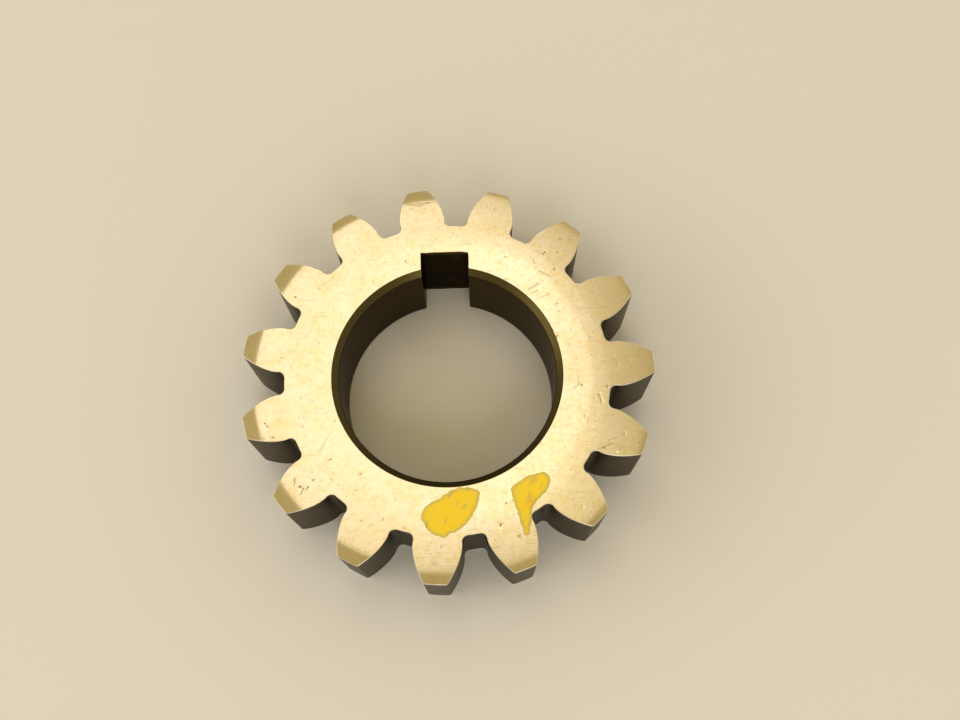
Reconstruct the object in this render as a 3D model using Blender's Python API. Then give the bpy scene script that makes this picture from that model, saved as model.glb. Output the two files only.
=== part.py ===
"""A one-piece steel spur gear with a plain bore and a single keyway.

The gear lies flat. The origin is on its axis, in the plane it rests on, +Z is up
along the axis, and the keyway is on the +Y side. Each end of the toothing carries a
shallow bevel, turned slightly out of true with the bore, so that it is widest on the
teeth to the left and narrowest on those to the right.
"""

import math

import bmesh
import bpy

# Toothing: 8 diametral pitch, 20 degree pressure angle, profile-shifted pinion.
INCH = 0.0254
MODULE = INCH / 8.0
TEETH = 15
PRESSURE_ANGLE = math.radians(20.0)
PROFILE_SHIFT = 0.40
TIP_RADIUS = 0.027165
ROOT_RADIUS = 0.0213
ROOT_FILLET_RADIUS = 0.0008
# How far the nearest tooth's centre line lies from the keyway's, counter-clockwise.
TOOTH_FROM_KEYWAY = math.radians(7.6)

# Body
FACE_WIDTH = INCH / 2.0
END_BEVEL_RADIUS = 0.0260
END_BEVEL_SLOPE = math.radians(8.0)
END_BEVEL_RUNOUT = 0.00085
END_BEVEL_RUNOUT_ANGLE = math.radians(345.0)

# Bore and keyway: 1 1/8 inch bore for a 1/4 inch square key.
BORE_RADIUS = INCH * 9.0 / 16.0
BORE_CHAMFER = INCH / 32.0
KEYWAY_WIDTH = INCH / 4.0
KEYWAY_FLOOR = 0.01723

# Facets of the faceted solid
WORKING_STEPS = 6
BEVELLED_STEPS = 2
FILLET_STEPS = 4
TIP_STEPS = 3
ROOT_STEPS = 2
BORE_STEPS = 112

# Worked-out sizes
TOOTH_PITCH = 2.0 * math.pi / TEETH
PITCH_RADIUS = MODULE * TEETH / 2.0
BASE_RADIUS = PITCH_RADIUS * math.cos(PRESSURE_ANGLE)
TOOTH_THICKNESS = MODULE * (math.pi / 2.0 + 2.0 * PROFILE_SHIFT * math.tan(PRESSURE_ANGLE))


def involute(angle):
    """The involute function of a pressure angle."""
    return math.tan(angle) - angle


def half_angle(radius):
    """Half the angle that a tooth fills at a radius; the flank is radial below the base circle."""
    at_base = TOOTH_THICKNESS / (2.0 * PITCH_RADIUS) + involute(PRESSURE_ANGLE)
    if radius <= BASE_RADIUS:
        return at_base
    return at_base - involute(math.acos(BASE_RADIUS / radius))


def polar(radius, angle):
    """The (x, y) point at a radius and an angle."""
    return (radius * math.cos(angle), radius * math.sin(angle))


def root_fillet():
    """Points (radius, angle from the tooth's centre line) from the root circle to the flank."""
    centre_radius = ROOT_RADIUS + ROOT_FILLET_RADIUS
    beyond_flank = math.asin(ROOT_FILLET_RADIUS / centre_radius)
    centre_angle = half_angle(BASE_RADIUS) + beyond_flank
    sweep = math.pi / 2.0 - beyond_flank
    points = []
    for step in range(FILLET_STEPS + 1):
        turn = sweep * step / FILLET_STEPS
        along = centre_radius - ROOT_FILLET_RADIUS * math.cos(turn)
        across = ROOT_FILLET_RADIUS * math.sin(turn)
        points.append((math.hypot(along, across), centre_angle - math.atan2(across, along)))
    return points


def involute_points(start, end, steps):
    """Points (radius, half angle) on the flank, from one radius to another."""
    radii = [start + (end - start) * step / steps for step in range(steps + 1)]
    return [(radius, half_angle(radius)) for radius in radii]


def bevel_start(centre):
    """The radius where the end bevel begins on the tooth whose centre line is at an angle."""
    return END_BEVEL_RADIUS + END_BEVEL_RUNOUT * math.cos(centre - END_BEVEL_RUNOUT_ANGLE)


def bevel_drop(radius, centre):
    """How far the tooth's end lies below the flat end face at a radius."""
    return max(0.0, radius - bevel_start(centre)) * math.tan(END_BEVEL_SLOPE)


def tooth_centres():
    """The angle of each tooth's centre line."""
    first = math.pi / 2.0 + TOOTH_FROM_KEYWAY
    return [first + TOOTH_PITCH * tooth for tooth in range(TEETH)]


def bore_outline(radius):
    """The bore at a radius with its keyway, as (x, y) points, counter-clockwise."""
    half = KEYWAY_WIDTH / 2.0
    keyway_edge = math.asin(half / radius)
    start = math.pi / 2.0 + keyway_edge
    sweep = 2.0 * math.pi - 2.0 * keyway_edge
    points = [polar(radius, start + sweep * step / BORE_STEPS) for step in range(BORE_STEPS + 1)]
    points += [(half, KEYWAY_FLOOR), (-half, KEYWAY_FLOOR)]
    return points


def add_loop(builder, points, height):
    """A closed loop of vertices at one height."""
    return [builder.verts.new((x, y, height)) for x, y in points]


def bridge(builder, lower, upper):
    """A band of faces between two loops that match point for point."""
    count = len(lower)
    for index in range(count):
        after = (index + 1) % count
        builder.faces.new((lower[index], lower[after], upper[after], upper[index]))


def add_bore(builder):
    """The bore wall, its chamfers and the keyway; returns the mouth loops, bottom and top."""
    mouth = bore_outline(BORE_RADIUS + BORE_CHAMFER)
    wall = bore_outline(BORE_RADIUS)
    loops = [add_loop(builder, mouth, 0.0),
             add_loop(builder, wall, BORE_CHAMFER),
             add_loop(builder, wall, FACE_WIDTH - BORE_CHAMFER),
             add_loop(builder, mouth, FACE_WIDTH)]
    for lower, upper in zip(loops, loops[1:]):
        bridge(builder, lower, upper)
    return loops[0], loops[-1]


def add_flank(builder, centre, side, height, outwards):
    """One flank's vertices on an end of a tooth, from the root circle out to the tip."""
    start = bevel_start(centre)
    points = root_fillet() + involute_points(BASE_RADIUS, start, WORKING_STEPS)
    points += involute_points(start, TIP_RADIUS, BEVELLED_STEPS)[1:]
    flank = []
    for radius, angle in points:
        x, y = polar(radius, centre + side * angle)
        flank.append(builder.verts.new((x, y, height - outwards * bevel_drop(radius, centre))))
    return flank


def add_tip_land(builder, centre, height, outwards):
    """The vertices along a tooth's tip, between its two corners."""
    tip = half_angle(TIP_RADIUS)
    level = height - outwards * bevel_drop(TIP_RADIUS, centre)
    land = []
    for step in range(1, TIP_STEPS):
        x, y = polar(TIP_RADIUS, centre + tip * (2.0 * step / TIP_STEPS - 1.0))
        land.append(builder.verts.new((x, y, level)))
    return land


def add_root_land(builder, centre, height):
    """The vertices along the root circle after a tooth, between the two fillets."""
    start = root_fillet()[0][1]
    sweep = TOOTH_PITCH - 2.0 * start
    angles = [centre + start + sweep * step / ROOT_STEPS for step in range(1, ROOT_STEPS)]
    return add_loop(builder, [polar(ROOT_RADIUS, angle) for angle in angles], height)


def add_end(builder, height, outwards):
    """One end of the toothing; returns its whole outline and the outline of its flat part."""
    outline = []
    flat = []
    for centre in tooth_centres():
        right = add_flank(builder, centre, -1.0, height, outwards)
        left = add_flank(builder, centre, 1.0, height, outwards)
        land = add_tip_land(builder, centre, height, outwards)
        root = add_root_land(builder, centre, height)
        for step in range(len(right) - 1 - BEVELLED_STEPS, len(right) - 1):
            builder.faces.new((right[step], right[step + 1], left[step + 1], left[step]))
        builder.faces.new([right[-1]] + land + [left[-1]])
        outline += right + land + left[::-1] + root
        flat += right[:-BEVELLED_STEPS] + left[:-BEVELLED_STEPS][::-1] + root
    return outline, flat


def fill_flat_face(builder, outer, inner):
    """Close the flat ring between the toothing and the bore's mouth."""
    edges = []
    for loop in (outer, inner):
        for start, end in zip(loop, loop[1:] + loop[:1]):
            edges.append(builder.edges.get((start, end)) or builder.edges.new((start, end)))
    bmesh.ops.triangle_fill(builder, use_beauty=True, use_dissolve=False, edges=edges)


def build_gear():
    """The whole gear as one closed mesh."""
    builder = bmesh.new()
    bottom_mouth, top_mouth = add_bore(builder)
    bottom_outline, bottom_flat = add_end(builder, 0.0, -1.0)
    top_outline, top_flat = add_end(builder, FACE_WIDTH, 1.0)
    bridge(builder, bottom_outline, top_outline)
    fill_flat_face(builder, bottom_flat, bottom_mouth)
    fill_flat_face(builder, top_flat, top_mouth)
    bmesh.ops.recalc_face_normals(builder, faces=builder.faces)
    mesh = bpy.data.meshes.new("spur_gear")
    builder.to_mesh(mesh)
    builder.free()
    mesh.shade_smooth()
    mesh.set_sharp_from_angle(angle=math.radians(30.0))
    gear = bpy.data.objects.new("spur_gear", mesh)
    bpy.context.collection.objects.link(gear)
    return gear


def bare_steel():
    """Bare machined steel, warm grey."""
    material = bpy.data.materials.new("bare_steel")
    material.use_nodes = True
    shader = material.node_tree.nodes["Principled BSDF"]
    shader.inputs["Base Color"].default_value = (0.71, 0.66, 0.53, 1.0)
    shader.inputs["Metallic"].default_value = 1.0
    shader.inputs["Roughness"].default_value = 0.38
    return material


def clear_scene():
    """Remove every object that the scene starts with."""
    for item in list(bpy.data.objects):
        bpy.data.objects.remove(item, do_unlink=True)


clear_scene()
build_gear().data.materials.append(bare_steel())
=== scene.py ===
"""The finished look of a small keyed spur gear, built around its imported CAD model.

The CAD node is replaced by a finer mesh of the same shape: true involute flanks, edges that
have been broken by hand, a rim that is slightly relieved, worn end bevels, pits and scratches.
Two marks of yellow paint lie on the upper face. Everything is in metres, in the CAD's frame.
"""

import math
import random

import bmesh
import bpy
import numpy as np
from mathutils import Matrix, Vector, kdtree, noise
from mathutils.geometry import delaunay_2d_cdt


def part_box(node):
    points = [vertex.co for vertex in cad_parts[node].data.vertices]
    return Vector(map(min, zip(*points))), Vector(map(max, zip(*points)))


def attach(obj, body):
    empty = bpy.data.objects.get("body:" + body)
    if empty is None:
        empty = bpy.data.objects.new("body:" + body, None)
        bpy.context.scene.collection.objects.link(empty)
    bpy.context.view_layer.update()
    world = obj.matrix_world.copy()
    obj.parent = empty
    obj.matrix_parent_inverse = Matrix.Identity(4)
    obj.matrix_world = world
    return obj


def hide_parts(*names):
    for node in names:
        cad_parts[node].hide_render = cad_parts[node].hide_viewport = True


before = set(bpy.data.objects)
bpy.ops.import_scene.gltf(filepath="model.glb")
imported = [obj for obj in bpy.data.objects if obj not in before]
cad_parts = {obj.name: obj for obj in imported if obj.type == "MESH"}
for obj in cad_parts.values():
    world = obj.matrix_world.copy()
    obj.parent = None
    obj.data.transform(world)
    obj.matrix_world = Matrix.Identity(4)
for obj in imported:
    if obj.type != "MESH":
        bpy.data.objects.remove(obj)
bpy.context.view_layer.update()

GEAR_LOW, GEAR_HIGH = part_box("spur_gear")
CAD_POINTS = np.array([vertex.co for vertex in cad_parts["spur_gear"].data.vertices])
CAD_RADII = np.hypot(CAD_POINTS[:, 0], CAD_POINTS[:, 1])

MM = 0.001
INCH = 0.0254

# Sizes that the frame gives
FACE_WIDTH = float(GEAR_HIGH[2] - GEAR_LOW[2])
TIP_RADIUS = float(CAD_RADII.max())
BORE_RADIUS = float(CAD_RADII.min())

# Toothing, as the CAD model has it
TEETH = 15
TOOTH_PITCH = 2.0 * math.pi / TEETH
MODULE = INCH / 8.0
PRESSURE_ANGLE = math.radians(20.0)
PROFILE_SHIFT = 0.40
ROOT_RADIUS = 21.3 * MM
ROOT_FILLET_RADIUS = 0.8 * MM
PITCH_RADIUS = MODULE * TEETH / 2.0
BASE_RADIUS = PITCH_RADIUS * math.cos(PRESSURE_ANGLE)
TOOTH_THICKNESS = MODULE * (math.pi / 2.0 + 2.0 * PROFILE_SHIFT * math.tan(PRESSURE_ANGLE))
FIRST_TOOTH = math.pi / 2.0 + math.radians(7.6)

# Bore and keyway, as the CAD model has them
BORE_CHAMFER = INCH / 32.0
MOUTH_RADIUS = BORE_RADIUS + BORE_CHAMFER
KEYWAY_HALF = INCH / 8.0
KEYWAY_FLOOR = 17.23 * MM

# End faces: the rim is relieved in steps of (start radius, slope), and a bevel runs over the teeth.
# The bevel is out of true with the bore, so it begins at a radius of its own on each tooth. These
# radii are in millimetres, from the first tooth round.
RELIEF_STEPS = ((18.8 * MM, math.tan(math.radians(1.3))), (20.8 * MM, math.tan(math.radians(0.40))))
RELIEF_SOFTNESS = 0.20 * MM
UPPER_BEVEL_STARTS = (25.6, 25.85, 25.1, 25.25, 25.35, 25.5, 25.7, 26.05, 26.3, 26.5, 26.85, 27.0, 27.0,
                      27.0, 27.0)
LOWER_BEVEL_START = 26.0
LOWER_BEVEL_SCATTER = 0.3
BEVEL_SLOPE = math.tan(math.radians(8.0))
BEVEL_SOFTNESS = 0.36 * MM
WAVINESS = 0.003 * MM
WAVE_LENGTH = 4.0 * MM

# How far the upper face lies under the CAD's, so that the paint on it stays inside the CAD's box
UPPER_SKIM = 0.055 * MM

# Edges broken by hand, a little heavier on one side of the gear
EDGE_BREAK = 0.08 * MM
EDGE_SCATTER = 0.25
EDGE_WAVE = 1.3 * MM
HEAVY_EDGE = 0.04 * MM
HEAVY_EDGE_ANGLE = math.radians(-5.0)
EDGE_STEPS = 3
TIP_CORNER = 0.20 * MM
BORE_EDGE_DOWN = 0.05 * MM
BORE_EDGE_OUT = 0.04 * MM

# Mesh density. Loops close to the ends of a wall keep its smooth shading flat up to the edge. The
# borders are where an end face's triangles begin, in sizes of the broken edge. Round a pit there
# are rings of (share of its radius, number of points), and along a scratch rows of points at a
# share of its width.
FLANK_STEPS = 24
FILLET_STEPS = 7
CORNER_STEPS = 4
TIP_STEPS = 4
ROOT_STEPS = 4
BORE_STEPS = 300
KEYWAY_STEPS = 6
WALL_SHARES = [0.009] + [step / 20.0 for step in range(1, 20)] + [0.991]
CHAMFER_SHARES = [0.10, 0.90]
TOOTH_BORDER = 1.15
MOUTH_BORDER = 1.3
UPPER_SPACING = 0.30 * MM
LOWER_SPACING = 0.42 * MM
RING_SPACING = 0.87
CREASE_OFFSETS = (-0.30 * MM, -0.10 * MM, 0.10 * MM, 0.30 * MM)
PIT_RINGS = ((0.45, 6), (0.8, 9), (1.15, 12))
SCRATCH_SIDE = 0.9
SHARP_ANGLE = math.radians(38.0)


# ---------------------------------------------------------------- outlines


def involute(angle):
    """The involute function of a pressure angle."""
    return math.tan(angle) - angle


def half_angle(radius):
    """Half the angle that a tooth fills at a radius; the flank is radial below the base circle."""
    at_base = TOOTH_THICKNESS / (2.0 * PITCH_RADIUS) + involute(PRESSURE_ANGLE)
    if radius <= BASE_RADIUS:
        return at_base
    return at_base - involute(math.acos(BASE_RADIUS / radius))


def polar(radius, angle):
    """The (x, y) point at a radius and an angle."""
    return (radius * math.cos(angle), radius * math.sin(angle))


def root_fillet():
    """Points (radius, angle from the tooth's centre line) from the root circle to the flank."""
    centre_radius = ROOT_RADIUS + ROOT_FILLET_RADIUS
    beyond_flank = math.asin(ROOT_FILLET_RADIUS / centre_radius)
    centre_angle = half_angle(BASE_RADIUS) + beyond_flank
    sweep = math.pi / 2.0 - beyond_flank
    points = []
    for step in range(FILLET_STEPS + 1):
        turn = sweep * step / FILLET_STEPS
        along = centre_radius - ROOT_FILLET_RADIUS * math.cos(turn)
        across = ROOT_FILLET_RADIUS * math.sin(turn)
        points.append((math.hypot(along, across), centre_angle - math.atan2(across, along)))
    return points


def rounded_tip_corner():
    """Points (radius, angle from the tooth's centre line) round the corner of flank and tip."""
    start = (TIP_RADIUS - TIP_CORNER, half_angle(TIP_RADIUS - TIP_CORNER))
    corner = (TIP_RADIUS, half_angle(TIP_RADIUS))
    end = (TIP_RADIUS, half_angle(TIP_RADIUS) - TIP_CORNER / TIP_RADIUS)
    points = []
    for step in range(CORNER_STEPS + 1):
        t = step / CORNER_STEPS
        weights = ((1.0 - t) ** 2, 2.0 * t * (1.0 - t), t ** 2)
        blend = zip(weights, (start, corner, end))
        pairs = [(weight * point[0], weight * point[1]) for weight, point in blend]
        points.append((sum(pair[0] for pair in pairs), sum(pair[1] for pair in pairs)))
    return points


def half_tooth():
    """Points (radius, angle from the centre line) from the middle of a root land to a tip."""
    fillet = root_fillet()
    corner = rounded_tip_corner()
    land_start = TOOTH_PITCH / 2.0
    land = fillet[0][1] - land_start
    points = [(ROOT_RADIUS, land_start + land * step / ROOT_STEPS) for step in range(ROOT_STEPS)]
    points += fillet
    flank_end = corner[0][0]
    for step in range(FLANK_STEPS):
        radius = BASE_RADIUS + (flank_end - BASE_RADIUS) * step / FLANK_STEPS
        points.append((radius, half_angle(radius)))
    points += corner
    points += [(TIP_RADIUS, corner[-1][1] * (1.0 - step / TIP_STEPS)) for step in range(1, TIP_STEPS)]
    return points


def gear_outline():
    """The toothed outline, counter-clockwise from a root land, as an array of (x, y)."""
    half = half_tooth()
    points = []
    for tooth in range(TEETH):
        centre = FIRST_TOOTH + TOOTH_PITCH * tooth
        points += [polar(radius, centre - angle) for radius, angle in half]
        points.append(polar(TIP_RADIUS, centre))
        points += [polar(radius, centre + angle) for radius, angle in reversed(half[1:])]
    return np.array(points)


def outward_normals(loop):
    """The outward normal at each point of a counter-clockwise loop."""
    along = np.roll(loop, -1, axis=0) - np.roll(loop, 1, axis=0)
    normals = np.stack([along[:, 1], -along[:, 0]], axis=1)
    return normals / np.linalg.norm(normals, axis=1)[:, None]


def bore_loop(radius, grow=0.0):
    """The bore at a radius, with its keyway grown outwards by a little, as an array of (x, y)."""
    half = KEYWAY_HALF + grow
    floor = KEYWAY_FLOOR + grow
    edge = math.asin(half / radius)
    start = math.pi / 2.0 + edge
    sweep = 2.0 * math.pi - 2.0 * edge
    arc = [polar(radius, start + sweep * step / BORE_STEPS) for step in range(BORE_STEPS + 1)]
    foot = radius * math.cos(edge)
    steps = [step / KEYWAY_STEPS for step in range(1, KEYWAY_STEPS + 1)]
    right = [(half, foot + (floor - foot) * t) for t in steps]
    across = [(half - 2.0 * half * t, floor) for t in steps]
    left = [(-half, floor + (foot - floor) * t) for t in steps[:-1]]
    return np.array(arc + right + across + left)


# ---------------------------------------------------------------- wear on the end faces


def at(radius_mm, degrees):
    """A point on an end face, from a radius in millimetres and an angle from +X."""
    return polar(radius_mm * MM, math.radians(degrees))


# Pits on the upper face: (radius in mm, angle in degrees, size in mm).
UPPER_PITS = (
    (24.35, 194.2, 0.26), (24.15, 195.4, 0.22), (23.9, 199.3, 0.26), (24.75, 200.6, 0.20),
    (25.0, 198.6, 0.14), (23.75, 217.3, 0.34), (23.6, 218.4, 0.26), (23.95, 218.9, 0.24),
    (23.0, 219.0, 0.28), (22.0, 218.2, 0.24), (23.9, 214.6, 0.16), (24.1, 215.6, 0.12),
    (25.85, 212.6, 0.22), (26.0, 216.6, 0.16), (19.9, 199.6, 0.16), (19.2, 196.4, 0.12),
    (18.6, 216.4, 0.18), (20.2, 222.4, 0.14), (22.0, 172.5, 0.14), (23.0, 150.0, 0.16),
    (19.2, 188.0, 0.14), (17.3, 229.4, 0.18), (18.8, 291.5, 0.14), (21.1, 287.0, 0.22),
    (23.2, 291.4, 0.20), (20.9, 353.0, 0.20), (21.3, 346.6, 0.18), (23.8, 2.0, 0.20),
    (22.4, 331.6, 0.22), (24.2, 338.4, 0.20), (21.4, 51.0, 0.22), (20.6, 44.0, 0.18),
    (17.6, 31.6, 0.18), (18.3, 63.0, 0.14), (24.8, 76.0, 0.14), (17.0, 108.0, 0.16),
    (16.4, 120.0, 0.14), (24.6, 100.5, 0.14), (20.6, 246.0, 0.16), (17.6, 352.6, 0.24),
)

# Scratches on the upper face: (start radius, start angle, end radius, end angle, width), in mm and
# degrees.
UPPER_SCRATCHES = (
    (16.1, 45.4, 17.3, 44.4, 0.07), (16.2, 38.6, 17.6, 37.4, 0.06), (16.0, 43.0, 16.5, 42.4, 0.06),
    (16.2, 40.8, 16.7, 40.5, 0.05), (17.4, 353.4, 16.6, 350.6, 0.06), (20.0, 349.6, 20.4, 347.0, 0.07),
    (22.6, 334.4, 23.4, 336.0, 0.05), (25.1, 94.2, 25.3, 100.6, 0.06), (24.9, 96.6, 25.0, 99.4, 0.05),
    (21.9, 330.2, 23.2, 333.8, 0.05), (18.2, 152.0, 19.4, 154.2, 0.04), (17.2, 207.0, 19.2, 211.0, 0.04),
)

# How many pits and scratches a face has once small random ones are added. The random ones' limits
# are in mm, and in radians for a scratch's turn. Depths are shares of a pit's or scratch's width.
PIT_COUNT = 90
SCRATCH_COUNT = 20
PIT_DIRT = 1.0
SCRATCH_DIRT = 0.6
RANDOM_PIT_RADII = (0.04, 0.07)
RANDOM_PIT_DIRT = (0.25, 0.6)
RANDOM_SCRATCH_TURNS = (0.02, 0.12)
RANDOM_SCRATCH_WIDTHS = (0.03, 0.045)
RANDOM_SCRATCH_DIRT = 0.2
PIT_DEPTH = 0.05
PIT_IRREGULARITY = 1.1
SCRATCH_DEPTH = 0.07


def soft_ramp(beyond, slope, softness):
    """The drop of a slope that begins softly where beyond is 0."""
    return slope * (beyond + math.hypot(beyond, softness)) / 2.0


def metal_at(radius, angle):
    """Whether the end face has metal at a radius and an angle, keyway and bore left out."""
    x, y = polar(radius, angle)
    if radius < MOUTH_RADIUS or (abs(x) < KEYWAY_HALF and 0.0 < y < KEYWAY_FLOOR):
        return False
    off_centre = (angle - FIRST_TOOTH + TOOTH_PITCH / 2.0) % TOOTH_PITCH - TOOTH_PITCH / 2.0
    return radius < ROOT_RADIUS or (radius < TIP_RADIUS and abs(off_centre) < half_angle(radius))


class EndFace:
    """One end of the gear: its height, and the marks that wear has left on it.

    A pit is (centre, radius, dirt), and a scratch is (start, end, width, dirt).
    """

    def __init__(self, upper, seed, bevel_starts, pits=(), scratches=()):
        self.upper = upper
        self.seed = seed
        self.bevel_starts = bevel_starts
        self.pits = [(at(radius, degrees), size * MM / 2.0, PIT_DIRT) for radius, degrees, size in pits]
        self.scratches = [(at(r1, a1), at(r2, a2), width * MM, SCRATCH_DIRT)
                          for r1, a1, r2, a2, width in scratches]
        self.scatter_marks(random.Random(seed))

    def scatter_marks(self, dice):
        """Small faint pits and fine scratches all over the face."""
        while len(self.pits) < PIT_COUNT:
            radius = dice.uniform(MOUTH_RADIUS, TIP_RADIUS)
            angle = dice.uniform(0.0, 2.0 * math.pi)
            size = dice.uniform(*RANDOM_PIT_RADII) * MM
            if metal_at(radius + 2.0 * size, angle) and metal_at(radius - 2.0 * size, angle):
                self.pits.append((polar(radius, angle), size, dice.uniform(*RANDOM_PIT_DIRT)))
        while len(self.scratches) < SCRATCH_COUNT:
            radius = dice.uniform(MOUTH_RADIUS + 1.0 * MM, ROOT_RADIUS - 0.6 * MM)
            angle = dice.uniform(0.0, 2.0 * math.pi)
            turn = dice.uniform(*RANDOM_SCRATCH_TURNS)
            end_radius = radius + dice.uniform(-1.0, 1.0) * MM
            end_radius = min(max(end_radius, MOUTH_RADIUS + 0.5 * MM), ROOT_RADIUS)
            if metal_at(radius, angle) and metal_at(radius, angle + turn):
                width = dice.uniform(*RANDOM_SCRATCH_WIDTHS) * MM
                self.scratches.append((polar(radius, angle), polar(end_radius, angle + turn), width,
                                       RANDOM_SCRATCH_DIRT))

    def bevel_start(self, angle):
        """The radius where the bevel begins on the tooth at an angle."""
        tooth = math.floor((angle - FIRST_TOOTH) / TOOTH_PITCH + 0.5) % TEETH
        return self.bevel_starts[tooth] * MM

    def pit_mark(self, x, y):
        """How deep the pits are at a point, and how much dirt they hold."""
        depth = 0.0
        dirt = 0.0
        for (px, py), radius, strength in self.pits:
            distance = math.hypot(x - px, y - py) / radius
            if distance < 1.5:
                shape = noise.noise(Vector((x, y, 0.0)) / (0.5 * radius))
                hollow = max(0.0, 1.0 - (distance * (1.0 + PIT_IRREGULARITY * shape)) ** 2) ** 1.5
                depth += 2.0 * radius * PIT_DEPTH * hollow
                dirt = max(dirt, min(1.0, 1.3 * hollow) * strength)
        return depth, dirt

    def scratch_mark(self, x, y):
        """How deep the scratches are at a point, and how much dirt they hold."""
        depth = 0.0
        dirt = 0.0
        for (ax, ay), (bx, by), width, strength in self.scratches:
            length2 = (bx - ax) ** 2 + (by - ay) ** 2
            along = ((x - ax) * (bx - ax) + (y - ay) * (by - ay)) / length2
            distance = math.hypot(x - ax - along * (bx - ax), y - ay - along * (by - ay)) / width
            if -0.05 < along < 1.05 and distance < SCRATCH_SIDE:
                depth += width * SCRATCH_DEPTH * (1.0 - distance)
                dirt = max(dirt, strength * (1.0 - distance))
        return depth, dirt

    def drop(self, x, y):
        """How far the face lies inside the CAD's flat end at a point, marks left out."""
        radius = math.hypot(x, y)
        relief = sum(soft_ramp(radius - start, slope, RELIEF_SOFTNESS) for start, slope in RELIEF_STEPS)
        bevel_start = self.bevel_start(math.atan2(y, x))
        bevel = soft_ramp(radius - bevel_start, BEVEL_SLOPE, BEVEL_SOFTNESS)
        wave = noise.noise(Vector((x / WAVE_LENGTH, y / WAVE_LENGTH, self.seed)))
        return relief + bevel + WAVINESS * (1.0 + wave)

    def height(self, x, y, inside=0.0):
        """The height of the face at a point, moved towards the middle of the gear by inside."""
        drop = self.drop(x, y) + inside
        return FACE_WIDTH - UPPER_SKIM - drop if self.upper else drop


# ---------------------------------------------------------------- the gear's mesh


class Shell:
    """The points, faces and wear values of one closed surface, gathered loop by loop."""

    def __init__(self):
        self.points = []
        self.faces = []
        self.dirt = []
        self.bore = []
        self.edge = []

    def add_points(self, points, dirt=None, bore=0.0, edge=0.0):
        """Adds points and returns their numbers."""
        first = len(self.points)
        self.points.extend(tuple(point) for point in points)
        count = len(self.points) - first
        self.dirt.extend(dirt if dirt is not None else [0.0] * count)
        self.bore.extend([bore] * count)
        self.edge.extend([edge] * count)
        return list(range(first, first + count))

    def bridge(self, one, other):
        """A band of faces between two loops that match point for point."""
        for index in range(len(one)):
            after = (index + 1) % len(one)
            self.faces.append((one[index], one[after], other[after], other[index]))

    def bridge_all(self, loops):
        """Bands of faces between neighbouring loops."""
        for one, other in zip(loops, loops[1:]):
            self.bridge(one, other)

    def fill(self, loops, extra, keep):
        """Triangles between loops and over extra points, where keep(x, y) is true."""
        numbers = [number for loop in loops for number in loop] + extra
        flat = [Vector((self.points[number][0] / MM, self.points[number][1] / MM)) for number in numbers]
        edges = []
        first = 0
        for loop in loops:
            size = len(loop)
            edges += [(first + index, first + (index + 1) % size) for index in range(size)]
            first += size
        result = delaunay_2d_cdt(flat, edges, [], 1, 1e-6)
        source = [numbers[olds[0]] for olds in result[3]]
        for corners in result[2]:
            middle = sum((result[0][corner] for corner in corners), Vector((0.0, 0.0))) / len(corners)
            if keep(middle.x * MM, middle.y * MM):
                self.faces.append(tuple(source[corner] for corner in corners))

    def to_object(self, name):
        """The shell as an object, with its faces pointing out and its wear as attributes."""
        mesh = bpy.data.meshes.new(name)
        mesh.from_pydata(self.points, [], self.faces)
        for label, values in (("dirt", self.dirt), ("bore", self.bore), ("edge", self.edge)):
            mesh.attributes.new(label, "FLOAT", "POINT").data.foreach_set("value", values)
        return finished_object(name, mesh)


def finished_object(name, mesh):
    """A mesh as an object in the scene, faces pointing out, smooth except at sharp edges."""
    builder = bmesh.new()
    builder.from_mesh(mesh)
    bmesh.ops.recalc_face_normals(builder, faces=builder.faces)
    builder.to_mesh(mesh)
    builder.free()
    mesh.shade_smooth()
    mesh.set_sharp_from_angle(angle=SHARP_ANGLE)
    item = bpy.data.objects.new(name, mesh)
    bpy.context.collection.objects.link(item)
    return item


def in_bore(x, y):
    """Whether a point of an end face lies in the bore or the keyway."""
    chord_sag = 0.0005 * MOUTH_RADIUS
    if math.hypot(x, y) < MOUTH_RADIUS + EDGE_BREAK - chord_sag:
        return True
    return abs(x) < KEYWAY_HALF and 0.0 < y < KEYWAY_FLOOR


def edge_profile():
    """The rounding of a broken edge: (inset, depth below the face) for an edge of size 1."""
    turns = [math.pi / 2.0 * step / EDGE_STEPS for step in range(EDGE_STEPS + 1)]
    return [(1.0 - math.cos(turn), 1.0 - math.sin(turn)) for turn in turns]


def edge_sizes(loop, seed):
    """The size of the broken edge at each point of a loop."""
    sizes = []
    for x, y in loop:
        wobble = noise.noise(Vector((x / EDGE_WAVE, y / EDGE_WAVE, seed)))
        side = max(0.0, math.cos(math.atan2(y, x) - HEAVY_EDGE_ANGLE)) ** 2
        sizes.append((EDGE_BREAK + HEAVY_EDGE * side) * (1.0 + EDGE_SCATTER * wobble))
    return np.array(sizes)


def tooth_wall_rim(shell, face, outline, normals):
    """The broken edge round the toothing at one end; returns its loops, wall side first."""
    sizes = edge_sizes(outline, face.seed + 10.0)
    loops = []
    for inset, depth in edge_profile() + [(TOOTH_BORDER, 0.0)]:
        ring = outline - normals * (sizes * inset)[:, None]
        heights = [face.height(x, y, size * depth) for (x, y), size in zip(ring, sizes)]
        edge = 1.0 if inset <= 1.0 else 0.0
        loops.append(shell.add_points([(x, y, z) for (x, y), z in zip(ring, heights)], edge=edge))
    return loops


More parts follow.
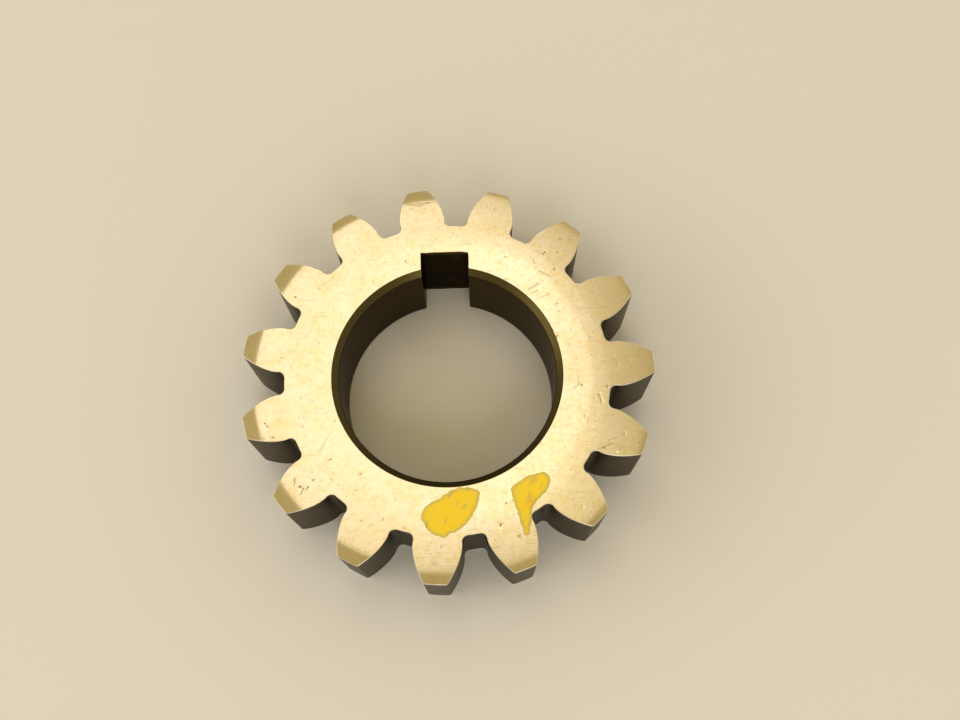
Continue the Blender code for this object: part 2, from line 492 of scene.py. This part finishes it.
def bore_rim(shell, face):
    """The bore's mouth at one end: a chamfer between two broken edges; returns its loops, wall first.

    The value of bore is 1 in the bore itself and 0.6 on the chamfer and its outer edge.
    """
    outward = 1.0 if face.upper else -1.0
    chamfer_end = (FACE_WIDTH if face.upper else 0.0) - outward * BORE_CHAMFER
    loops = []
    for grow, rise in ((0.0, -BORE_EDGE_DOWN), (BORE_EDGE_OUT, BORE_EDGE_OUT)):
        height = chamfer_end + outward * rise
        ring = bore_loop(BORE_RADIUS + grow)
        loops.append(shell.add_points([(x, y, height) for x, y in ring], bore=1.0))
    edges = []
    for inset, depth in edge_profile()[1:]:
        grow = EDGE_BREAK * inset
        ring = bore_loop(MOUTH_RADIUS - EDGE_BREAK / 3.0 + grow, grow)
        points = [(x, y, face.height(x, y, EDGE_BREAK * depth)) for x, y in ring]
        edges.append(shell.add_points(points, bore=0.6))
    loops += between(shell, loops[-1], edges[0], CHAMFER_SHARES, 0.6)[1:] + edges[1:]
    grow = MOUTH_BORDER * EDGE_BREAK
    ring = bore_loop(MOUTH_RADIUS + grow, grow)
    loops.append(shell.add_points([(x, y, face.height(x, y)) for x, y in ring]))
    return loops


def mark_points(face):
    """Extra points that carry the marks on a face."""
    points = []
    for (x, y), radius, _ in face.pits:
        points.append((x, y))
        for share, count in PIT_RINGS:
            for step in range(count):
                dx, dy = polar(share * radius, 2.0 * math.pi * step / count)
                points.append((x + dx, y + dy))
    for (ax, ay), (bx, by), width, _ in face.scratches:
        length = math.hypot(bx - ax, by - ay)
        nx, ny = (ay - by) / length, (bx - ax) / length
        count = max(3, int(length / (1.6 * width)))
        for step in range(count + 1):
            t = step / count
            for offset in (-SCRATCH_SIDE * width, 0.0, SCRATCH_SIDE * width):
                points.append((ax + (bx - ax) * t + nx * offset, ay + (by - ay) * t + ny * offset))
    return points


def crease_points(face, spacing):
    """Points on both sides of the line where the end bevel begins."""
    points = []
    count = int(2.0 * math.pi * TIP_RADIUS / spacing)
    for step in range(count):
        angle = 2.0 * math.pi * step / count
        for offset in CREASE_OFFSETS:
            points.append(polar(face.bevel_start(angle) + offset, angle))
    return points


def lattice_points(spacing):
    """Points in staggered rings over the whole face."""
    points = []
    rings = int((TIP_RADIUS - MOUTH_RADIUS) / (RING_SPACING * spacing))
    for ring in range(1, rings):
        radius = MOUTH_RADIUS + ring * RING_SPACING * spacing
        count = int(2.0 * math.pi * radius / spacing)
        points += [polar(radius, 2.0 * math.pi * (step + ring % 2 / 2.0) / count) for step in range(count)]
    return points


def search_tree(points):
    """A tree that finds the nearest of some (x, y) points."""
    tree = kdtree.KDTree(max(1, len(points)))
    for index, (x, y) in enumerate(points):
        tree.insert((x, y, 0.0), index)
    tree.balance()
    return tree


def thinned(groups, border):
    """Points of each group that lie on metal, away from the border and from earlier groups.

    groups is a list of (points, distance kept from earlier groups, distance kept from the border).
    """
    border_tree = search_tree(border)
    kept = []
    for points, apart, from_border in groups:
        earlier = search_tree(kept)
        fresh = []
        for x, y in points:
            if not metal_at(math.hypot(x, y), math.atan2(y, x)):
                continue
            if border_tree.find((x, y, 0.0))[2] < from_border:
                continue
            if kept and earlier.find((x, y, 0.0))[2] < apart:
                continue
            fresh.append((x, y))
        kept += fresh
    return kept


def fill_end_face(shell, face, outer, inner, spacing):
    """The end face between the toothing's edge and the bore's, with its marks."""
    border = [shell.points[number][:2] for number in outer + inner]
    groups = [(mark_points(face), 0.0, 0.06 * MM),
              (crease_points(face, spacing), 0.4 * spacing, 0.5 * spacing),
              (lattice_points(spacing), 0.6 * spacing, 0.6 * spacing)]
    points = []
    dirt = []
    for x, y in thinned(groups, border):
        pit_depth, pit_dirt = face.pit_mark(x, y)
        scratch_depth, scratch_dirt = face.scratch_mark(x, y)
        points.append((x, y, face.height(x, y, pit_depth + scratch_depth)))
        dirt.append(max(pit_dirt, scratch_dirt))
    extra = shell.add_points(points, dirt)
    shell.fill([outer, inner], extra, lambda x, y: not in_bore(x, y))


def between(shell, low, high, shares, bore):
    """Two matching loops, and new loops at shares of the way from the first to the second."""
    low_points = np.array([shell.points[number] for number in low])
    high_points = np.array([shell.points[number] for number in high])
    loops = [low]
    for share in shares:
        loops.append(shell.add_points(low_points + (high_points - low_points) * share, bore=bore))
    return loops + [high]


def lower_face():
    """The lower end face, whose bevel begins at slightly different radii and whose marks are light."""
    dice = random.Random(11)
    starts = [LOWER_BEVEL_START + dice.uniform(-1.0, 1.0) * LOWER_BEVEL_SCATTER for _ in range(TEETH)]
    return EndFace(False, 3, starts)


def build_gear(lower, upper):
    """The whole gear as one closed mesh between its two end faces, which stands for the CAD node."""
    shell = Shell()
    outline = gear_outline()
    normals = outward_normals(outline)
    rims = []
    mouths = []
    for face, spacing in ((lower, LOWER_SPACING), (upper, UPPER_SPACING)):
        rim = tooth_wall_rim(shell, face, outline, normals)
        mouth = bore_rim(shell, face)
        shell.bridge_all(rim)
        shell.bridge_all(mouth)
        fill_end_face(shell, face, rim[-1], mouth[-1], spacing)
        rims.append(rim[0])
        mouths.append(mouth[0])
    shell.bridge_all(between(shell, rims[0], rims[1], WALL_SHARES, 0.0))
    shell.bridge_all(between(shell, mouths[0], mouths[1], WALL_SHARES, 1.0))
    gear = shell.to_object("gear_body")
    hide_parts("spur_gear")
    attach(gear, "root")
    return gear


# ---------------------------------------------------------------- paint marks

PAINT_THICKNESS = 0.035 * MM
PAINT_SPACING = 0.13 * MM
PAINT_EDGE = 0.55 * MM
PAINT_LIP = 0.006 * MM
RAGGED_BY = 0.16 * MM
RAGGED_WAVE = 0.8 * MM
BRISTLE_LENGTH = 2.2 * MM
BRISTLE_WIDTH = 0.32 * MM
WORN_PATCH = 1.4 * MM
CURVE_STEPS = 14

# Corners of the two marks, as (x, y) in mm: a slanting dab, and a smear that tapers
DAB_CORNERS = ((0.5, -15.4), (2.3, -15.25), (3.6, -15.8), (3.4, -17.3), (2.5, -19.1), (0.7, -20.6),
               (-1.3, -21.3), (-2.9, -20.3), (-3.7, -18.7), (-3.0, -17.5), (-1.3, -16.4))
SMEAR_CORNERS = ((7.7, -15.7), (8.7, -14.7), (10.2, -13.9), (11.7, -13.6), (12.6, -14.2), (12.5, -15.4),
                 (11.6, -16.5), (10.5, -17.6), (10.2, -18.6), (10.0, -20.0), (9.7, -21.3), (9.0, -21.2),
                 (8.7, -19.6), (8.1, -17.6))


def smooth_loop(points):
    """A closed Catmull-Rom curve through a few points, as an array of (x, y)."""
    points = np.array(points)
    ring = []
    for index in range(len(points)):
        a, b, c, d = (points[(index + shift) % len(points)] for shift in (-1, 0, 1, 2))
        for step in range(CURVE_STEPS):
            t = step / CURVE_STEPS
            ring.append(0.5 * (2.0 * b + (c - a) * t + (2.0 * a - 5.0 * b + 4.0 * c - d) * t ** 2
                               + (3.0 * b - a - 3.0 * c + d) * t ** 3))
    return np.array(ring)


def ragged(loop, seed):
    """A loop with a slightly ragged edge, as brushed paint has."""
    normals = outward_normals(loop)
    moved = []
    for (x, y), normal in zip(loop, normals):
        shift = noise.fractal(Vector((x, y, seed * MM)) / RAGGED_WAVE, 1.0, 2.0, 3) * RAGGED_BY
        moved.append((x + normal[0] * shift, y + normal[1] * shift))
    return np.array(moved)


def inside_loop(x, y, loop):
    """Whether a point lies inside a closed loop."""
    ahead = np.roll(loop, -1, axis=0)
    crosses = (loop[:, 1] > y) != (ahead[:, 1] > y)
    rise = ahead[:, 1] - loop[:, 1]
    rise[rise == 0.0] = 1e-12
    at_x = loop[:, 0] + (y - loop[:, 1]) * (ahead[:, 0] - loop[:, 0]) / rise
    return bool(np.count_nonzero(crosses & (x < at_x)) % 2)


def points_inside(loop):
    """Staggered points inside a loop, as (x, y, distance from the loop)."""
    low = loop.min(axis=0)
    high = loop.max(axis=0)
    points = []
    for column in range(int((high[0] - low[0]) / PAINT_SPACING) + 1):
        for row in range(int((high[1] - low[1]) / PAINT_SPACING) + 1):
            x = low[0] + (column + row % 2 / 2.0) * PAINT_SPACING
            y = low[1] + row * PAINT_SPACING
            distance = np.hypot(loop[:, 0] - x, loop[:, 1] - y).min()
            if distance > 0.6 * PAINT_SPACING and inside_loop(x, y, loop):
                points.append((x, y, distance))
    return points


def film_top(face, inner, seed):
    """The top of a paint film over (x, y, distance from its edge), and how thin the paint is there."""
    tops = []
    thin = []
    for x, y, distance in inner:
        rise = 1.0 - math.exp(-distance / PAINT_EDGE)
        along, across = 0.5 * x + 0.87 * y, 0.87 * x - 0.5 * y
        brush = noise.noise(Vector((along / BRISTLE_LENGTH, across / BRISTLE_WIDTH, seed + 4.0)))
        tops.append((x, y, face.height(x, y, -PAINT_LIP - PAINT_THICKNESS * rise * (1.0 + 0.25 * brush))))
        worn = noise.noise(Vector((x / WORN_PATCH, y / WORN_PATCH, seed + 9.0)))
        thin.append(min(1.0, max(0.0, 1.0 - 1.5 * rise) + max(0.0, 1.1 * brush + 0.8 * worn - 0.28)))
    return tops, thin


def paint_mark(name, corners_mm, face, seed):
    """A film of paint with a thin ragged edge, lying on an end face."""
    loop = ragged(smooth_loop([(x * MM, y * MM) for x, y in corners_mm]), seed)
    tops, thin = film_top(face, points_inside(loop), seed)
    shell = Shell()
    foot = shell.add_points([(x, y, face.height(x, y, PAINT_LIP)) for x, y in loop])
    edge = shell.add_points([(x, y, face.height(x, y, -PAINT_LIP)) for x, y in loop], [1.0] * len(loop))
    top = shell.add_points(tops, thin)
    shell.bridge(foot, edge)
    shell.fill([edge], top, lambda x, y: True)
    shell.faces.append(tuple(reversed(foot)))
    mark = shell.to_object(name)
    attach(mark, "root")
    return mark


def add_paint(face, material):
    """Two plain marks of brushed paint on an end face, below the bore."""
    for name, corners, seed in (("paint_dab", DAB_CORNERS, 1.0), ("paint_smear", SMEAR_CORNERS, 2.0)):
        mark = paint_mark(name, corners, face, seed)
        mark.data.materials.append(material)


# ---------------------------------------------------------------- materials

# Linear colours of the steel's clean ends and of what lies on them
CLEAN_STEEL = (0.80, 0.765, 0.69, 1.0)
WARM_STEEL = (0.79, 0.73, 0.57, 1.0)
PATINA = (0.76, 0.68, 0.40, 1.0)
HAZE = (0.52, 0.45, 0.28, 1.0)
SMUDGE = (0.56, 0.48, 0.27, 1.0)
SOIL = (0.11, 0.082, 0.032, 1.0)

# Linear colours of the oil-stained steel with painted shade on the flanks, bore and chamfer, and the
# tints of clean steel and of oily steel with painted shade, seen edge-on
DARK_OIL_AND_SHADE = (0.064, 0.053, 0.039, 1.0)
PALE_OIL_AND_SHADE = (0.100, 0.084, 0.062, 1.0)
BORE_OIL_AND_SHADE = (0.068, 0.054, 0.034, 1.0)
KEYWAY_SHADE = (0.024, 0.019, 0.012, 1.0)
CHAMFER_OIL_AND_SHADE = (0.082, 0.062, 0.020, 1.0)
CLEAN_TINT = (1.0, 1.0, 1.0, 1.0)
OILY_SHADED_TINT = (0.55, 0.53, 0.50, 1.0)

# Linear colours of the paint and the floor
YELLOW_PAINT = (1.0, 0.74, 0.022, 1.0)
ORANGE_PAINT = (0.97, 0.56, 0.012, 1.0)
THIN_PAINT = (0.58, 0.52, 0.17, 1.0)
PALE_FLOOR = (0.80, 0.82, 0.88, 1.0)

# How far apart the hobbing marks lie on the flanks
FEED_MARK = 0.8 * MM


class Graph:
    """A material's node tree, with short calls to add and join nodes."""

    def __init__(self, name):
        self.material = bpy.data.materials.new(name)
        self.material.use_nodes = True
        self.tree = self.material.node_tree
        self.shader = self.tree.nodes["Principled BSDF"]

    def node(self, kind, values=None, **settings):
        """Adds a node; values maps input names or numbers to numbers or to other nodes' outputs."""
        node = self.tree.nodes.new(kind)
        for key, value in settings.items():
            setattr(node, key, value)
        for key, value in (values or {}).items():
            self.set(node.inputs[key], value)
        return node

    def set(self, socket, value):
        """Sets a socket to a number or colour, or links it to an output."""
        if isinstance(value, bpy.types.NodeSocket):
            self.tree.links.new(value, socket)
        else:
            socket.default_value = value

    def surface(self, values):
        """Sets or links the shader's inputs, by name, and returns the material."""
        for key, value in values.items():
            self.set(self.shader.inputs[key], value)
        return self.material

    def math(self, operation, first, second=0.0, clamp=False):
        """The output of a Math node."""
        return self.node("ShaderNodeMath", {0: first, 1: second}, operation=operation,
                         use_clamp=clamp).outputs[0]

    def plus(self, first, *others):
        """The sum of some values."""
        for other in others:
            first = self.math("ADD", first, other)
        return first

    def minus(self, first, second):
        """The first value less the second."""
        return self.math("SUBTRACT", first, second)

    def times(self, first, second):
        """The product of two values."""
        return self.math("MULTIPLY", first, second)

    def larger(self, first, second):
        """The larger of two values."""
        return self.math("MAXIMUM", first, second)

    def mix(self, factor, first, second):
        """The colour output of a Mix node."""
        node = self.node("ShaderNodeMix", data_type="RGBA")
        self.set(node.inputs[0], factor)
        self.set(node.inputs[6], first)
        self.set(node.inputs[7], second)
        return node.outputs[2]

    def ramp(self, value, low, high):
        """A value between low and high mapped to 0 to 1."""
        return self.node("ShaderNodeMapRange", {"Value": value, "From Min": low, "From Max": high},
                         interpolation_type="SMOOTHSTEP").outputs["Result"]

    def noise(self, coordinates, scale, detail=3.0, roughness=0.55):
        """The value of a Noise texture."""
        return self.node("ShaderNodeTexNoise", {"Vector": coordinates, "Scale": scale,
                                                "Detail": detail, "Roughness": roughness}).outputs[0]

    def stretched(self, coordinates, degrees, along, across):
        """Coordinates turned about Z and stretched, for brushed or sanded lines."""
        turned = self.node("ShaderNodeMapping", {"Vector": coordinates,
                                                 "Rotation": (0.0, 0.0, math.radians(degrees)),
                                                 "Scale": (along, across, along)})
        return turned.outputs[0]

    def bump(self, height, strength, distance):
        """The normal that a height gives."""
        return self.node("ShaderNodeBump", {"Strength": strength, "Distance": distance,
                                            "Height": height}).outputs[0]

    def attribute(self, name):
        """The value of a mesh attribute."""
        return self.node("ShaderNodeAttribute", attribute_name=name).outputs["Fac"]


def specks(g, where, scale, least, largest):
    """Small round specks, one in a cell or none, each of its own size."""
    cells = g.node("ShaderNodeTexVoronoi", {"Vector": where, "Scale": scale, "Randomness": 1.0})
    lot = g.node("ShaderNodeSeparateColor", {0: cells.outputs["Color"]}).outputs[0]
    size = g.times(g.ramp(lot, least, 1.0), largest)
    return g.ramp(g.minus(size, cells.outputs["Distance"]), 0.0, 0.07)


def hairlines(g, where, degrees):
    """Sparse hair-thin scratches that run one way."""
    field = g.noise(g.stretched(where, degrees, 60.0, 900.0), 1.0, 1.0)
    line = g.minus(1.0, g.ramp(g.math("ABSOLUTE", g.minus(field, 0.5)), 0.0, 0.012))
    gate = g.ramp(g.noise(where, 330.0 + degrees, 2.0), 0.54, 0.62)
    return g.times(line, gate)


def soiled_spots(g, where):
    """How soiled the steel is: fine and bold specks, hairlines, and dirt in its pits and scratches."""
    shaken = g.node("ShaderNodeTexNoise", {"Vector": where, "Scale": 2600.0, "Detail": 3.0})
    uneven = g.node("ShaderNodeVectorMath", {0: shaken.outputs["Color"], 1: (0.0003, 0.0003, 0.0003),
                                             2: where}, operation="MULTIPLY_ADD").outputs[0]
    fine = g.times(specks(g, uneven, 2100.0, 0.62, 0.34), 0.15)
    bold = g.times(specks(g, uneven, 900.0, 0.93, 0.17), 0.38)
    lines = g.times(g.larger(hairlines(g, where, 31.0), hairlines(g, where, -52.0)), 0.16)
    return g.larger(g.larger(fine, bold), g.larger(lines, g.attribute("dirt")))


def end_colour(g, where, cloud, haze):
    """The pale steel of the ends, with warm clouds, a yellowish patina, haze and smudges."""
    patina = g.ramp(g.noise(where, 760.0, 5.0, 0.65), 0.42, 0.68)
    smudge = g.ramp(g.noise(where, 620.0, 5.0, 0.7), 0.56, 0.74)
    colour = g.mix(g.times(cloud, 0.6), CLEAN_STEEL, WARM_STEEL)
    colour = g.mix(g.times(patina, 0.5), colour, PATINA)
    colour = g.mix(g.times(haze, 0.16), colour, HAZE)
    return g.mix(g.times(smudge, 0.30), colour, SMUDGE)


def oily_and_shaded_colour(g, radius, bore, mottle):
    """Steel darkened by oil stain and by painted shade: mottled flanks, a brown bore, a nearly black
    keyway and a warm chamfer.
    """
    inside = g.ramp(bore, 0.8, 1.0)
    # Painted shade: the keyway, a deep slot, is coloured nearly black.
    keyway = g.times(inside, g.ramp(radius, BORE_RADIUS + 0.05 * MM, BORE_RADIUS + 0.40 * MM))
    chamfer = g.minus(g.ramp(bore, 0.2, 0.6), g.ramp(bore, 0.75, 1.0))
    colour = g.mix(mottle, DARK_OIL_AND_SHADE, PALE_OIL_AND_SHADE)
    colour = g.mix(inside, colour, BORE_OIL_AND_SHADE)
    colour = g.mix(keyway, colour, KEYWAY_SHADE)
    return g.mix(chamfer, colour, CHAMFER_OIL_AND_SHADE)


def tool_marks(g, where, place, radius, upright):
    """The height of turned rings and grain all over, and of hobbing marks across the flanks."""
    angle = g.math("ARCTAN2", place.outputs[1], place.outputs[0])
    around = g.node("ShaderNodeCombineXYZ", {0: g.times(radius, 6500.0), 1: g.times(angle, 2.2)})
    rings = g.noise(around.outputs[0], 1.0, 2.0)
    grain = g.times(g.noise(where, 5200.0, 2.0), 0.7)
    waver = g.times(g.noise(where, 120.0), 9.0)
    feed = g.math("SINE", g.plus(g.times(place.outputs[2], 2.0 * math.pi / FEED_MARK), waver))
    return g.plus(rings, grain, g.times(g.times(feed, upright), 0.8))


def steel_material():
    """Bare machined steel: pale satin ends, and flanks and bore dark with oil stain and painted shade."""
    g = Graph("bare_steel_with_painted_shade")
    where = g.node("ShaderNodeTexCoord").outputs["Object"]
    place = g.node("ShaderNodeSeparateXYZ", {0: where})
    radius = g.math("SQRT", g.plus(g.math("POWER", place.outputs[0], 2.0),
                                   g.math("POWER", place.outputs[1], 2.0)))
    normal = g.node("ShaderNodeSeparateXYZ", {0: g.node("ShaderNodeNewGeometry").outputs["Normal"]})
    upright = g.ramp(g.math("ABSOLUTE", normal.outputs[2]), 0.75, 0.35)
    bore = g.attribute("bore")
    edge = g.attribute("edge")

    # Patches of several sizes, the spots that are soiled, and the parts darkened by oil stain and by
    # painted shade: the upright flanks, the bore and its chamfer
    cloud = g.ramp(g.noise(where, 210.0, 4.0, 0.6), 0.35, 0.70)
    haze = g.ramp(g.noise(where, 1500.0, 3.0, 0.6), 0.45, 0.75)
    mottle = g.ramp(g.noise(where, 1300.0, 5.0, 0.7), 0.30, 0.72)
    soiled = soiled_spots(g, where)
    # Painted shade over a real oil stain: upright faces, the bore and its chamfer take a dark colour that
    # stands for the shade they lie in.
    flank = g.times(upright, g.minus(0.95, g.times(edge, 0.6)))
    stained_and_shaded = g.larger(flank, g.ramp(bore, 0.1, 0.6))

    colour = g.mix(stained_and_shaded, end_colour(g, where, cloud, haze), oily_and_shaded_colour(g, radius, bore, mottle))
    stain_roughness = g.times(stained_and_shaded, g.plus(0.08, g.times(mottle, 0.08)))
    marks = tool_marks(g, where, place, radius, upright)
    return g.surface({
        "Base Color": g.mix(soiled, colour, SOIL),
        "Metallic": g.minus(1.0, g.times(soiled, 0.7)),
        # Painted shade in reflections: the tint dims what the flanks, bore and chamfer mirror.
        "Specular Tint": g.mix(stained_and_shaded, CLEAN_TINT, OILY_SHADED_TINT),
        "Roughness": g.plus(0.185, g.times(cloud, 0.03), g.times(haze, 0.04), g.times(soiled, 0.22),
                            stain_roughness, g.times(edge, 0.20)),
        "Normal": g.bump(g.minus(marks, g.times(soiled, 1.2)), 0.22, 0.008 * MM),
    })


def paint_material():
    """Brushed-on yellow enamel, orange where it is thick; its thin edges let the steel through."""
    g = Graph("yellow_paint_finish")
    where = g.node("ShaderNodeTexCoord").outputs["Object"]
    cloud = g.ramp(g.noise(where, 420.0, 3.0), 0.52, 0.74)
    streaks = g.noise(g.stretched(where, -60.0, 260.0, 2600.0), 1.0, 3.0)
    thin = g.math("ADD", g.attribute("dirt"), g.times(g.ramp(streaks, 0.60, 0.80), 0.30), clamp=True)
    relief = g.plus(streaks, g.times(g.noise(where, 3000.0), 0.3))
    return g.surface({
        "Base Color": g.mix(thin, g.mix(cloud, YELLOW_PAINT, ORANGE_PAINT), THIN_PAINT),
        "Metallic": g.times(thin, 0.4),
        "Roughness": g.plus(0.34, g.times(streaks, 0.15)),
        "Normal": g.bump(relief, 0.30, 0.015 * MM),
    })


def floor_material():
    """Plain pale matt floor."""
    return Graph("pale_floor").surface({"Base Color": PALE_FLOOR, "Roughness": 0.9})


# ---------------------------------------------------------------- studio

FLOOR_HALF = 2.0
FLOOR_GAP = 0.02 * MM

# Camera, with its lens and sensor in mm
CAMERA_PLACE = (4.06 * MM, -41.18 * MM, 137.96 * MM)
CAMERA_HEADING = math.radians(-0.37)
CAMERA_TILT = math.radians(18.86)
CAMERA_ROLL = math.radians(-1.60)
CAMERA_LENS = 37.91
CAMERA_SENSOR = 36.0
CAMERA_NEAR = 0.005

# Softboxes: name, place, diameter, watts, colour. The upper face mirrors the key, the core and the
# low one towards the camera; the others light the flanks and bevels from three sides.
SOFTBOXES = (
    ("key_softbox", (-0.070, 0.197, 0.60), 0.39, 0.41, (1.0, 0.845, 0.65)),
    ("core_softbox", (0.030, 0.240, 0.56), 0.09, 0.006, (1.0, 0.95, 0.80)),
    ("low_softbox", (0.085, 0.075, 0.60), 0.15, 0.024, (1.0, 0.86, 0.56)),
    ("side_softbox", (-0.80, -0.10, 0.42), 0.80, 2.0, (1.0, 0.93, 0.80)),
    ("edge_softbox", (0.60, 0.22, 0.62), 0.25, 0.20, (1.0, 0.86, 0.56)),
    ("front_softbox", (0.05, -0.50, 0.46), 0.30, 0.75, (1.0, 0.95, 0.86)),
)

# The surround's linear colours, and the sines of the two elevations that it blends between
HORIZON_COLOUR = (0.82, 0.785, 0.71, 1.0)
OVERHEAD_COLOUR = (0.51, 0.385, 0.145, 1.0)
BLEND_START = math.sin(math.radians(22.0))
BLEND_END = math.sin(math.radians(42.0))


def add_camera():
    """A close view from above, on the side of the gear away from the keyway."""
    data = bpy.data.cameras.new("camera")
    data.lens = CAMERA_LENS
    data.sensor_width = CAMERA_SENSOR
    data.clip_start = CAMERA_NEAR
    camera = bpy.data.objects.new("camera", data)
    turn = Matrix.Rotation(CAMERA_HEADING, 4, "Z") @ Matrix.Rotation(CAMERA_TILT, 4, "X")
    camera.matrix_world = Matrix.Translation(CAMERA_PLACE) @ turn @ Matrix.Rotation(CAMERA_ROLL, 4, "Z")
    bpy.context.collection.objects.link(camera)
    bpy.context.scene.camera = camera


def add_floor():
    """A large plane just under the gear."""
    mesh = bpy.data.meshes.new("floor")
    corners = [(-FLOOR_HALF, -FLOOR_HALF), (FLOOR_HALF, -FLOOR_HALF), (FLOOR_HALF, FLOOR_HALF),
               (-FLOOR_HALF, FLOOR_HALF)]
    mesh.from_pydata([(x, y, -FLOOR_GAP) for x, y in corners], [], [(0, 1, 2, 3)])
    floor = bpy.data.objects.new("floor", mesh)
    bpy.context.collection.objects.link(floor)
    mesh.materials.append(floor_material())


def add_softbox(name, place, size, watts, colour):
    """A round area light at a place, facing the gear."""
    data = bpy.data.lights.new(name, "AREA")
    data.shape = "DISK"
    data.size = size
    data.energy = watts
    data.color = colour
    light = bpy.data.objects.new(name, data)
    light.location = place
    light.rotation_euler = Vector(place).to_track_quat("Z", "Y").to_euler()
    bpy.context.collection.objects.link(light)


def add_light():
    """The softboxes and the surround."""
    for softbox in SOFTBOXES:
        add_softbox(*softbox)
    add_surround()


def add_surround():
    """A surround that is pale near the horizon and dimmer and warm overhead."""
    world = bpy.data.worlds.new("surround")
    world.use_nodes = True
    nodes = world.node_tree.nodes
    links = world.node_tree.links
    where = nodes.new("ShaderNodeTexCoord")
    split = nodes.new("ShaderNodeSeparateXYZ")
    ramp = nodes.new("ShaderNodeMapRange")
    ramp.interpolation_type = "SMOOTHSTEP"
    ramp.inputs["From Min"].default_value = BLEND_START
    ramp.inputs["From Max"].default_value = BLEND_END
    mix = nodes.new("ShaderNodeMix")
    mix.data_type = "RGBA"
    mix.inputs[6].default_value = HORIZON_COLOUR
    mix.inputs[7].default_value = OVERHEAD_COLOUR
    links.new(where.outputs["Generated"], split.inputs[0])
    links.new(split.outputs[2], ramp.inputs["Value"])
    links.new(ramp.outputs["Result"], mix.inputs[0])
    links.new(mix.outputs[2], nodes["Background"].inputs["Color"])
    bpy.context.scene.world = world


bpy.context.scene.view_settings.view_transform = "Standard"
add_camera()
upper_face = EndFace(True, 5, UPPER_BEVEL_STARTS, UPPER_PITS, UPPER_SCRATCHES)
gear_body = build_gear(lower_face(), upper_face)
gear_body.data.materials.append(steel_material())
add_paint(upper_face, paint_material())
add_floor()
add_light()
